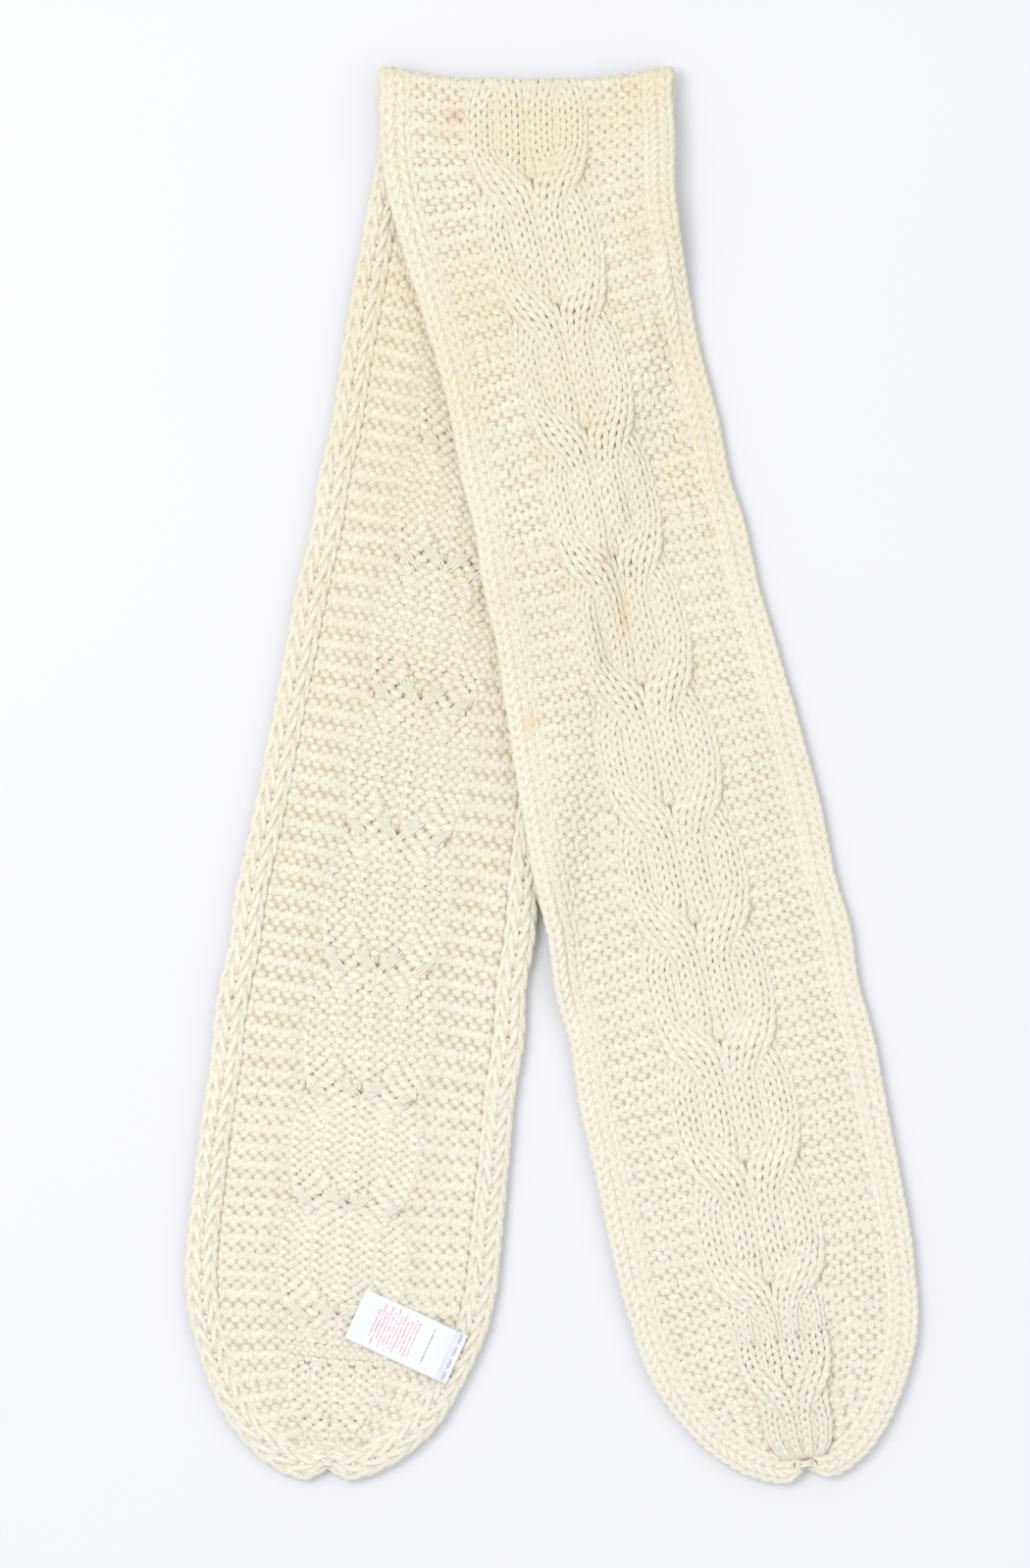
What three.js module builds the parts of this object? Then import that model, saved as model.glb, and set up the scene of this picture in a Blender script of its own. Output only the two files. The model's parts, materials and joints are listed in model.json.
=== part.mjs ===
// A long cable-knit wool scarf, folded once across the middle and laid flat, in millimetres.
//
// +Z is up and z = 0 is the table. The fold lies along X at the +Y end and both tapered ends point to -Y.
// The rear leaf lies on the table with its wrong side up and carries the care label. The front leaf lies
// over it with its right side up, and comes down onto the table where the rear leaf no longer holds it.
// The leaves are drawn from the middle of the fold, and the finished scarf is then moved so that the
// origin is at the middle of its whole outline, on the table.
//
// A place on a leaf is given by `along`, the distance from the fold down the leaf's middle line, and
// `across`, the distance from that line, positive to the right.

import * as THREE from "three";

// ---- driving dimensions ------------------------------------------------------------------------------

const FOLD_HALF = 83; // half width at the fold, shared by both leaves
const CORD_WIDTH = 19; // rolled edge cord, across the scarf
const CORD_THICK = 9.5; // the cord is the thickest part, so the leaf is as thick as the cord
const GARTER_LIFT = 1.4; // how far the garter panels lie inside the cord's two faces
const CABLE_SHARE = 0.41; // cable panel's half width as a share of the leaf's half width
const TONGUE_SHARE = 0.76; // and as a share of the space between the cords in the tip
const CABLE_CROWN = 2.2; // how much lower the cable panel is at its sides
const CABLE_LIFT = 0.5; // how far the cable panel's wrong side lies inside the cord's face
const GAP = 0.4; // clearance between neighbouring solids
const SAG_RUN = 26; // the front leaf comes down to the table over this distance beside the rear leaf
const SAG_START = 2; // and starts this far outside the rear leaf's edge

// lean: how far the leaf turns away from -Y; leanIn: over what length; straighten: share of the lean that
// the far end loses. Half widths are at the fold, at the waist and at the widest place. The front leaf's
// upper part is drawn in closer steps, because it comes down over the rear leaf's edge.
const REAR = {
  name: "rear",
  length: 795,
  lean: -11.8,
  leanIn: 92,
  straighten: 0.77,
  foldHalf: FOLD_HALF,
  waistHalf: 79,
  waistAt: 250,
  wideHalf: 88,
  wideAt: 620,
  tipLength: 136,
  liftAt: 505,
  upperSteps: 12,
};
const FRONT = {
  name: "front",
  length: 803,
  lean: 12.9,
  leanIn: 98,
  straighten: 0.165,
  foldHalf: FOLD_HALF,
  waistHalf: 73.5,
  waistAt: 180,
  wideHalf: 84.5,
  wideAt: 520,
  tipLength: 136,
  liftAt: 510,
  upperSteps: 24,
};
const TIP_POWER = 2.1; // 2 is an ellipse, more is squarer
const PANEL_END = 0.96; // share of the tip that the panels fill before the cords close it

const LABEL_LENGTH = 62;
const LABEL_WIDTH = 30.3;
const LABEL_THICK = 0.8; // ribbon folded double
const LABEL_HEM = 6; // the stitched-down end
const LABEL_ALONG = 720; // sewn end's middle, on the rear leaf
const LABEL_ACROSS = 68.5;
const LABEL_TURN = 155.5; // direction from the sewn end to the free end, in degrees from +X
const STITCHES = 4;
const STITCH_LENGTH = 4.5;
const THREAD = 0.8;
const SEAM_YARN = 2.8;
const SEAM_REACH = 11; // length of the seam yarn across the closed tip

const WOOL = new THREE.MeshStandardMaterial({ color: 0xf3ebd0, roughness: 0.95, metalness: 0 });
const SATIN = new THREE.MeshStandardMaterial({ color: 0xf7f7fb, roughness: 0.35, metalness: 0 });
const THREAD_WHITE = new THREE.MeshStandardMaterial({ color: 0xeeeeee, roughness: 0.6, metalness: 0 });

// ---- the leaf's shape --------------------------------------------------------------------------------

const TURN_RADIUS = CORD_THICK + GAP / 2; // outside of the fold

function smooth(t) {
  const k = Math.min(Math.max(t, 0), 1);
  return k * k * (3 - 2 * k);
}

function mix(a, b, t) {
  return a + (b - a) * t;
}

// Walks down the leaf from the fold in 1 mm steps and keeps each place and heading.
function middleLine(leaf) {
  const places = [];
  let x = 0;
  let y = 0;
  for (let along = 0; along <= leaf.length + 1; along += 1) {
    const share = along / leaf.length;
    const lean = leaf.lean * smooth(along / leaf.leanIn) * (1 - leaf.straighten * share * share);
    const heading = THREE.MathUtils.degToRad(lean);
    places.push({ x, y, heading });
    x += Math.sin(heading);
    y -= Math.cos(heading);
  }
  return places;
}
REAR.line = middleLine(REAR);
FRONT.line = middleLine(FRONT);

function lineAt(leaf, along) {
  const last = leaf.line.length - 2;
  const i = Math.min(Math.max(Math.floor(along), 0), last);
  const a = leaf.line[i];
  const b = leaf.line[i + 1];
  const t = along - i;
  return { x: mix(a.x, b.x, t), y: mix(a.y, b.y, t), heading: mix(a.heading, b.heading, t) };
}

// Half width of the straight part, before the tip closes.
function openHalf(leaf, along) {
  const toWaist = smooth(along / leaf.waistAt);
  const toWide = smooth((along - leaf.waistAt) / (leaf.wideAt - leaf.waistAt));
  return mix(mix(leaf.foldHalf, leaf.waistHalf, toWaist), leaf.wideHalf, toWide);
}

function tipCurve(t) {
  const k = Math.min(Math.max(t, 0), 1);
  return Math.pow(1 - Math.pow(k, TIP_POWER), 1 / TIP_POWER);
}

// Half width of the leaf's outline moved in by `inset`.
function halfWidth(leaf, along, inset) {
  const start = leaf.length - leaf.tipLength;
  return (openHalf(leaf, along) - inset) * tipCurve((along - start) / (leaf.tipLength - inset));
}

const REAR_DROP = -REAR.line[REAR.line.length - 1].y;

// How far a place lies outside the rear leaf's outline; negative is over the leaf.
function outsideRear(x, y) {
  const along = (-y / REAR_DROP) * REAR.length;
  const at = lineAt(REAR, Math.min(Math.max(along, 0), REAR.length));
  const across = (x - at.x) * Math.cos(at.heading) + (y - at.y) * Math.sin(at.heading);
  return Math.abs(across) - openHalf(REAR, along);
}

// Height of the leaf's underside.
function underside(leaf, x, y) {
  if (leaf === REAR) return 0;
  return (CORD_THICK + GAP) * (1 - smooth((outsideRear(x, y) - SAG_START) / SAG_RUN));
}

// A point of the leaf at a depth inwards from the knitting's right side, which is the lower face of the
// rear leaf and the upper face of the front leaf.
function leafPoint(leaf, along, across, depth) {
  const at = lineAt(leaf, along);
  const x = at.x + across * Math.cos(at.heading);
  const y = at.y + across * Math.sin(at.heading);
  const z = leaf === REAR ? depth : underside(leaf, x, y) + CORD_THICK - depth;
  return new THREE.Vector3(x, y, z);
}

// ---- building blocks ---------------------------------------------------------------------------------

const laid = new THREE.Group();

function add(name, geometry, material, group = laid) {
  const mesh = new THREE.Mesh(geometry, material);
  mesh.name = name;
  group.add(mesh);
  return mesh;
}

// Moves every vertex of a unit box or cylinder to the place that `place` gives it.
function shaped(geometry, place) {
  const position = geometry.attributes.position;
  for (let i = 0; i < position.count; i += 1) {
    const p = place(position.getX(i), position.getY(i), position.getZ(i));
    position.setXYZ(i, p.x, p.y, p.z);
  }
  geometry.computeVertexNormals();
  return geometry;
}

// The cord's inner side, where the garter panel ends. Round the tip it keeps a little more clearance.
function garterOuter(leaf, along) {
  const tipClearance = smooth((along - leaf.length + leaf.tipLength) / CORD_WIDTH);
  return halfWidth(leaf, along, CORD_WIDTH + tipClearance) - GAP;
}

function cableHalf(leaf, along) {
  return Math.min(openHalf(leaf, along) * CABLE_SHARE, garterOuter(leaf, along) * TONGUE_SHARE);
}

// Each panel's left and right side, the depths of its two faces, and how many strips it is drawn in.
const GARTER_FACES = [GARTER_LIFT, CORD_THICK - GARTER_LIFT];
const PANELS = {
  left_garter: {
    left: (leaf, along) => -garterOuter(leaf, along),
    right: (leaf, along) => -cableHalf(leaf, along) - GAP / 2,
    faces: GARTER_FACES,
    crown: 0,
    strips: 4,
  },
  cable_panel: {
    left: (leaf, along) => -cableHalf(leaf, along) + GAP / 2,
    right: (leaf, along) => cableHalf(leaf, along) - GAP / 2,
    faces: [0, CORD_THICK - CABLE_LIFT],
    crown: CABLE_CROWN,
    strips: 8,
  },
  right_garter: {
    left: (leaf, along) => cableHalf(leaf, along) + GAP / 2,
    right: (leaf, along) => garterOuter(leaf, along),
    faces: GARTER_FACES,
    crown: 0,
    strips: 4,
  },
};

function panel(leaf, zone, from, to, steps) {
  const box = new THREE.BoxGeometry(1, 1, 1, zone.strips, steps, 1);
  return shaped(box, (x, y, z) => {
    const along = mix(to, from, y + 0.5);
    const across = mix(zone.left(leaf, along), zone.right(leaf, along), x + 0.5);
    const inwards = leaf === REAR ? z + 0.5 : 0.5 - z;
    const crown = leaf === FRONT && z > 0 ? zone.crown * Math.pow(2 * x, 2) : 0;
    return leafPoint(leaf, along, across, mix(zone.faces[0], zone.faces[1], inwards) + crown);
  });
}

// The middle of an edge cord beside the panels. `turn` is how far the cord turns from the leaf's heading.
function straightRoute(leaf, side, from, to, steps) {
  const route = [];
  for (let i = 0; i <= steps; i += 1) {
    const along = mix(from, to, i / steps);
    route.push({ along, across: side * halfWidth(leaf, along, CORD_WIDTH / 2), turn: 0 });
  }
  return route;
}

// The same, from a place beside the panels round the tip to its centre.
function tipRoute(leaf, side, from, straightSteps, turnSteps) {
  const half = CORD_WIDTH / 2;
  const tipStart = leaf.length - leaf.tipLength;
  const reach = leaf.tipLength - half;
  const route = straightRoute(leaf, side, from, tipStart, straightSteps);
  for (let i = 1; i <= turnSteps; i += 1) {
    const round = (Math.PI / 2) * (i / turnSteps);
    const along = tipStart + reach * Math.pow(Math.sin(round), 2 / TIP_POWER);
    const spread = openHalf(leaf, along) - half;
    const across = Math.max(spread * Math.pow(Math.cos(round), 2 / TIP_POWER), 4 * GAP);
    const turn = Math.atan2(spread * Math.sin(round), reach * Math.cos(round));
    route.push({ along, across: side * across, turn: -side * turn });
  }
  return route;
}

// A rolled cord of oval section along a route.
function cord(leaf, route) {
  const steps = route.length - 1;
  return shaped(new THREE.CylinderGeometry(1, 1, 1, 8, steps), (x, y, z) => {
    const { along, across, turn } = route[Math.round((0.5 - y) * steps)];
    const place = leafPoint(leaf, along, across, CORD_THICK / 2);
    const facing = lineAt(leaf, along).heading + turn;
    place.x += (Math.cos(facing) * x * CORD_WIDTH) / 2;
    place.y += (Math.sin(facing) * x * CORD_WIDTH) / 2;
    place.z += (z * CORD_THICK) / 2;
    return place;
  });
}

// The half turn of one zone round the fold, from the rear leaf up to the front leaf.
function foldTurn(left, right, faces) {
  return shaped(new THREE.BoxGeometry(1, 1, 1, 1, 8, 1), (x, y, z) => {
    const angle = -Math.PI * y;
    const radius = TURN_RADIUS - mix(faces[1], faces[0], z + 0.5);
    return new THREE.Vector3(
      mix(left, right, x + 0.5),
      GAP + radius * Math.cos(angle),
      TURN_RADIUS + radius * Math.sin(angle),
    );
  });
}

// ---- the knitting ------------------------------------------------------------------------------------

const SIDES = { left: -1, right: 1 };
const LOWER_STEPS = 14;

for (const leaf of [REAR, FRONT]) {
  const upperEnd = leaf.liftAt - GAP / 2;
  const lowerStart = leaf.liftAt + GAP / 2;
  const panelEnd = leaf.length - leaf.tipLength + (leaf.tipLength - CORD_WIDTH) * PANEL_END;
  for (const [kind, zone] of Object.entries(PANELS)) {
    add(`${leaf.name}_upper_${kind}`, panel(leaf, zone, 0, upperEnd, leaf.upperSteps), WOOL);
    add(`${leaf.name}_lower_${kind}`, panel(leaf, zone, lowerStart, panelEnd, LOWER_STEPS), WOOL);
  }
  for (const [sideName, side] of Object.entries(SIDES)) {
    const upper = straightRoute(leaf, side, 0, upperEnd, leaf.upperSteps);
    const lower = tipRoute(leaf, side, lowerStart, 5, 12);
    add(`${leaf.name}_upper_${sideName}_cord`, cord(leaf, upper), WOOL);
    add(`${leaf.name}_lower_${sideName}_cord`, cord(leaf, lower), WOOL);
  }
}

for (const [kind, zone] of Object.entries(PANELS)) {
  add(`fold_${kind}`, foldTurn(zone.left(REAR, 0), zone.right(REAR, 0), zone.faces), WOOL);
}
const CORD_INNER = FOLD_HALF - CORD_WIDTH;
const CORD_FACES = [0, CORD_THICK - GAP / 2];
add("fold_left_cord", foldTurn(-FOLD_HALF, -CORD_INNER, CORD_FACES), WOOL);
add("fold_right_cord", foldTurn(CORD_INNER, FOLD_HALF, CORD_FACES), WOOL);

// ---- the yarn that closes each tip -------------------------------------------------------------------

class SeamPath extends THREE.QuadraticBezierCurve3 {
  constructor(leaf) {
    const at = lineAt(leaf, leaf.length - CORD_WIDTH / 2);
    const height = CORD_THICK + GAP + SEAM_YARN / 2;
    const side = new THREE.Vector3(Math.cos(at.heading), Math.sin(at.heading), 0);
    const middle = new THREE.Vector3(at.x, at.y, height);
    const left = middle.clone().addScaledVector(side, -SEAM_REACH / 2);
    const right = middle.clone().addScaledVector(side, SEAM_REACH / 2);
    const peak = middle.clone().setZ(height + SEAM_YARN / 2);
    super(left, peak, right);
  }
}

for (const leaf of [REAR, FRONT]) {
  const round = new THREE.Shape().absarc(0, 0, SEAM_YARN / 2, 0, Math.PI * 2);
  const options = { steps: 6, curveSegments: 8, bevelEnabled: false, extrudePath: new SeamPath(leaf) };
  add(`${leaf.name}_tip_seam_yarn`, new THREE.ExtrudeGeometry(round, options), WOOL);
}

// ---- the care label ----------------------------------------------------------------------------------

// Local +X runs from the sewn end to the free end, and z = 0 is the label's underside.
const label = new THREE.Group();
label.position.copy(leafPoint(REAR, LABEL_ALONG, LABEL_ACROSS, CORD_THICK + GAP));
label.rotation.z = THREE.MathUtils.degToRad(LABEL_TURN);
laid.add(label);

function ribbon(from, to) {
  const box = new THREE.BoxGeometry(to - from, LABEL_WIDTH, LABEL_THICK);
  return box.translate((from + to) / 2, 0, LABEL_THICK / 2);
}
add("label_hem", ribbon(0, LABEL_HEM - GAP / 2), SATIN, label);
add("label_flap", ribbon(LABEL_HEM + GAP / 2, LABEL_LENGTH), SATIN, label);

for (let i = 0; i < STITCHES; i += 1) {
  const stitch = new THREE.CylinderGeometry(THREAD / 2, THREAD / 2, STITCH_LENGTH, 8);
  const across = ((i + 0.5) / STITCHES - 0.5) * LABEL_WIDTH;
  stitch.translate(LABEL_HEM / 2, across, LABEL_THICK + GAP + THREAD / 2);
  add(`label_stitch_${i + 1}`, stitch, THREAD_WHITE, label);
}

// ---- the origin at the middle of the outline ---------------------------------------------------------

const middle = new THREE.Box3().setFromObject(laid, true).getCenter(new THREE.Vector3());
laid.position.set(-middle.x, -middle.y, 0);

const scarf = new THREE.Group();
scarf.name = "scarf";
scarf.add(laid);

export default scarf;
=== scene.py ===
"""Looks for the cable-knit scarf: every stitch is a length of yarn in its knitted path, round the CAD frame.

A place in the knitting is given by `reach`, the distance along the whole strip from the crest of the fold
(negative down the front leaf, positive down the rear leaf), `across`, the distance from its middle line, and
`height`, the distance from the middle of the cloth towards its right side. Rows are counted from the cable
crossing in the fold, and grow in the direction of knitting, from the front tip to the rear tip.
"""

import json
import math

import bpy
import numpy as np
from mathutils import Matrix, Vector


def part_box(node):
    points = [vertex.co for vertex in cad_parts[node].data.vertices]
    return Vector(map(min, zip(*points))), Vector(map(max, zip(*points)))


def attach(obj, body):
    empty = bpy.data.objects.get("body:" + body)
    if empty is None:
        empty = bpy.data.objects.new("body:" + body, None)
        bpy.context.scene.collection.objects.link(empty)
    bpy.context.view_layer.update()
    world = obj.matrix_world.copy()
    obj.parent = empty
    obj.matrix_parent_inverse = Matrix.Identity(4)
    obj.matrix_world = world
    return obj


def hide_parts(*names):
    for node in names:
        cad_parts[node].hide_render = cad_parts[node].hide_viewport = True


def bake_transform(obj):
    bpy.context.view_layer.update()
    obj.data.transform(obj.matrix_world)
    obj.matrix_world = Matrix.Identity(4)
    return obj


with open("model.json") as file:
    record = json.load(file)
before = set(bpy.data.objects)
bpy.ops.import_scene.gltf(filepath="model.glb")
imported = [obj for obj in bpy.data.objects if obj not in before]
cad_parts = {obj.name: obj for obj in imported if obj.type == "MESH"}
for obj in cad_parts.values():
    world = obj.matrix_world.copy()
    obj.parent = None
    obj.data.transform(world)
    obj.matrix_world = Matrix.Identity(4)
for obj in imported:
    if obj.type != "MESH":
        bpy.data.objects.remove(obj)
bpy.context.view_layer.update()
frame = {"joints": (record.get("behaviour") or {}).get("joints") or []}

bl_info = {
    "name": "Cable-knit scarf",
    "version": (1, 0, 0),
    "blender": (4, 5, 0),
    "location": "View3D > Sidebar > Scarf",
    "description": "Knits a folded cable scarf stitch by stitch, with its care label and a pale table",
    "category": "Add Mesh",
}

MM = 0.001

# ---- sizes taken from the frame ----------------------------------------------------------------------

FOLD_LOW, FOLD_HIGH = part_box("fold_cable_panel")
CORD_LOW, CORD_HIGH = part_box("fold_left_cord")
GAP = 0.4 * MM  # between two pieces of the CAD
FOLD_X = (FOLD_LOW.x + FOLD_HIGH.x) / 2
FOLD_Y = FOLD_LOW.y - GAP
FOLD_HALF = FOLD_X - CORD_LOW.x
CORD_WIDTH = CORD_HIGH.x - CORD_LOW.x
TURN_RADIUS = FOLD_HIGH.z / 2
CORD_THICK = TURN_RADIUS - GAP / 2
MIDDLE = CORD_THICK / 2
FOLD_RADIUS = TURN_RADIUS - MIDDLE
HALF_TURN = math.pi / 2 * FOLD_RADIUS

# ---- the leaves, as the CAD lays them ----------------------------------------------------------------

STEP = 1 * MM  # the middle lines and the rows are worked out at steps of this length
TIP_LENGTH = 136 * MM  # length of a leaf's rounded end
TIP_POWER = 2.1  # 2 would make the end half an ellipse, and more makes it squarer
SAG_RUN = 26 * MM  # width in which the front leaf comes down to the table beside the rear leaf
SAG_START = 2 * MM  # and how far from the rear leaf's edge that starts
UNEVEN = 1.0 * MM  # how far hand-knitted edges and rows wander
FOLD_DIP = 8.5 * MM  # how far the middle of the fold lies inside its corners
FOLD_DIP_RUN = 70 * MM  # and how far along the leaf that goes on
CREST_RUN = 24 * MM
BEND_REACH = 22 * MM  # half length of the strip that bends where an end lifts


def smooth(t):
    k = np.clip(t, 0, 1)
    return k * k * (3 - 2 * k)


def mix(a, b, t):
    return a + (b - a) * t


class Leaf:
    """One leaf of the folded scarf: its middle line, walked from the fold in steps, and its half width.

    way is the sign of its reach. It turns by lean degrees within lean_in, and its far end loses the share
    straighten of that. Its half width is waist at waist_at and wide at wide_at, and its end lifts at lift_at.
    """

    def __init__(self, name, way, length, lean, lean_in, straighten, waist, waist_at, wide, wide_at, lift_at):
        self.name, self.way, self.length, self.lift_at = name, way, length, lift_at
        self.waist, self.waist_at, self.wide, self.wide_at = waist, waist_at, wide, wide_at
        self.steps = np.arange(0, length + 30 * MM, STEP)
        share = np.minimum(self.steps / length, 1)
        self.heading = np.radians(lean * smooth(self.steps / lean_in) * (1 - straighten * share**2))
        self.x = FOLD_X + np.concatenate([[0], np.cumsum(np.sin(self.heading))[:-1]]) * STEP
        self.y = FOLD_Y - np.concatenate([[0], np.cumsum(np.cos(self.heading))[:-1]]) * STEP

    def line(self, along):
        return [np.interp(along, self.steps, values) for values in (self.x, self.y, self.heading)]

    def open_half(self, along):
        to_waist = mix(FOLD_HALF, self.waist, smooth(along / self.waist_at))
        return mix(to_waist, self.wide, smooth((along - self.waist_at) / (self.wide_at - self.waist_at)))

    def half(self, along, inset=0.0):
        """Half width of the outline moved in by inset."""
        t = np.clip((along - self.length + TIP_LENGTH) / (TIP_LENGTH - inset), 0, 1)
        return (self.open_half(along) - inset) * (1 - t**TIP_POWER) ** (1 / TIP_POWER)


REAR = Leaf(
    "rear",
    way=1,
    length=795 * MM,
    lean=-11.8,
    lean_in=92 * MM,
    straighten=0.77,
    waist=79 * MM,
    waist_at=250 * MM,
    wide=88 * MM,
    wide_at=620 * MM,
    lift_at=505 * MM,
)
FRONT = Leaf(
    "front",
    way=-1,
    length=803 * MM,
    lean=12.9,
    lean_in=98 * MM,
    straighten=0.165,
    waist=73.5 * MM,
    waist_at=180 * MM,
    wide=84.5 * MM,
    wide_at=520 * MM,
    lift_at=510 * MM,
)
REAR_DROP = FOLD_Y - np.interp(REAR.length, REAR.steps, REAR.y)


def underside(x, y):
    """Height of the front leaf's underside, which lies over the rear leaf and comes down beside it."""
    along = (FOLD_Y - y) / REAR_DROP * REAR.length
    line_x, line_y, heading = REAR.line(np.clip(along, 0, REAR.length))
    across = (x - line_x) * np.cos(heading) + (y - line_y) * np.sin(heading)
    outside = np.abs(across) - REAR.open_half(along)
    return (CORD_THICK + GAP) * (1 - smooth((outside - SAG_START) / SAG_RUN))


def crest(reach):
    """1 on the crest of the fold, where the cloth is pulled thin, falling to 0 beside it."""
    return smooth(1 - np.abs(reach) / CREST_RUN)


def surface(reach, across, height):
    """Points in the scarf's own frame of places in the knitting.

    Near the crest the cloth goes round the fold in a half turn, and beyond it lies along its leaf.
    """
    reach, across, height = np.broadcast_arrays(reach, across, height)
    outer = (across / FOLD_HALF) ** 2 * np.sign(across)
    across = across + UNEVEN * outer * np.sin(reach / (17 * MM) + 2 * np.sin(reach / (41 * MM)))
    reach = reach + UNEVEN * (1 - crest(reach)) * np.sin(across / (19 * MM) + reach / (53 * MM))
    along = np.abs(reach) - HALF_TURN
    angle = -reach / HALF_TURN * math.pi / 2
    radius = FOLD_RADIUS + height
    x, y = FOLD_X + across, FOLD_Y + radius * np.cos(angle)
    z = TURN_RADIUS + radius * np.sin(angle)
    for leaf in (FRONT, REAR):
        line_x, line_y, heading = leaf.line(along)
        leaf_x = line_x + across * np.cos(heading)
        leaf_y = line_y + across * np.sin(heading)
        leaf_z = MIDDLE - height if leaf is REAR else underside(leaf_x, leaf_y) + MIDDLE + height
        here = (along > 0) & (np.sign(reach) == leaf.way)
        x, y, z = np.where(here, leaf_x, x), np.where(here, leaf_y, y), np.where(here, leaf_z, z)
    y = y - FOLD_DIP * (1 - np.minimum(np.abs(across) / FOLD_HALF, 1) ** 2) * smooth(1 - along / FOLD_DIP_RUN)
    return np.stack([x, y, z], axis=-1)


def leaf_half(reach, inset=0.0):
    along = np.maximum(np.abs(reach) - HALF_TURN, 0)
    return np.where(reach < 0, FRONT.half(along, inset), REAR.half(along, inset))


# ---- rows --------------------------------------------------------------------------------------------

CABLE_ROWS = 12  # rows from one cable crossing to the next
FIRST_CROSSING = 6.4 * MM  # reach of the crossing that row 0 is counted from
LAST_CROSSING = 11 * CABLE_ROWS

# Row height beside the fold, then each later row height and the distances from the fold where the change to
# it starts and ends, all in millimetres.
FRONT_PITCH = (6.03, (5.70, 345, 375), (4.75, 690, 710))
REAR_PITCH = (5.75, (6.33, 270, 300), (5.13, 540, 600))


def stepped(along, pitches):
    height = pitches[0]
    for later, start, end in pitches[1:]:
        height = mix(height, later, smooth((along / MM - start) / (end - start)))
    return height * MM


def row_pitch(reach):
    """Row height, which is tighter in the tips."""
    along = np.abs(reach)
    return np.where(reach < 0, stepped(along, FRONT_PITCH), stepped(along, REAR_PITCH))


REACHES = np.arange(-HALF_TURN - FRONT.length - 20 * MM, HALF_TURN + REAR.length + 20 * MM, STEP)
ROWS = np.cumsum(STEP / row_pitch(REACHES))
ROWS -= np.interp(FIRST_CROSSING, REACHES, ROWS)


def reach_of(row):
    return np.interp(row, ROWS, REACHES)


def row_of(reach):
    return float(np.interp(reach, REACHES, ROWS))


def scatter(row, column, salt):
    """A fixed pseudo-random number from -1 to 1 for a stitch."""
    wave = np.sin(row * 12.9898 + column * 78.233 + salt * 37.719) * 43758.5453
    return 2 * (wave - np.floor(wave)) - 1


# ---- segments, each on its body ----------------------------------------------------------------------


class Segment:
    """A stretch of the strip between two reaches, which rides on one body, or stays where it is laid when it
    lies between two.
    """

    def __init__(self, name, low, high, bodies, start=None, end=None):
        self.name, self.low, self.high = name, low, high
        self.bodies, self.start, self.end = bodies, start, end

    def rows(self, step=1):
        first = math.ceil(row_of(self.low) / step - 0.5)
        last = math.ceil(row_of(self.high) / step - 0.5)
        return (np.arange(first, last) + 0.5) * step

    def settle(self, piece):
        if len(self.bodies) == 1:
            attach(piece, self.bodies[0])
        else:
            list(self.bodies)
            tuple(self.start)
            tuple(self.end)
            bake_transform(piece)


def leaf_segments(leaf):
    """Upper part, bending strip and lower part of a leaf."""
    near = HALF_TURN + leaf.lift_at - BEND_REACH
    far = HALF_TURN + leaf.lift_at + BEND_REACH
    ends = [tuple(surface(leaf.way * reach, 0.0, 0.0)) for reach in (near, far)]
    upper, lower = leaf.name + "_upper", leaf.name + "_lower"
    spans = [
        (upper, HALF_TURN, near, [upper]),
        (leaf.name + "_bend", near, far, [upper, lower]),
        (lower, far, HALF_TURN + leaf.length + 10 * MM, [lower]),
    ]
    for name, a, b, bodies in spans:
        low, high = sorted((leaf.way * a, leaf.way * b))
        yield Segment(name, low, high, bodies, *ends)


FOLD_START = (FOLD_X, FOLD_Y, TURN_RADIUS - FOLD_RADIUS)
FOLD_END = (FOLD_X, FOLD_Y, TURN_RADIUS + FOLD_RADIUS)
SEGMENTS = [
    *leaf_segments(FRONT),
    Segment("fold", -HALF_TURN, HALF_TURN, ["rear_upper", "front_upper"], FOLD_START, FOLD_END),
    *leaf_segments(REAR),
]

# ---- yarn --------------------------------------------------------------------------------------------

SAMPLES = 16  # points along the yarn in one stitch
SIDES = 7  # flat sides round it
UP = np.array([0.0, 0.0, 1.0])
# How far hand knitting wanders: across in stitches, along in rows, deep in metres, and thick as a share.
WANDER_ACROSS = 0.045
WANDER_ALONG = 0.065
WANDER_DEEP = 0.22 * MM
WANDER_THICK = 0.08


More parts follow.
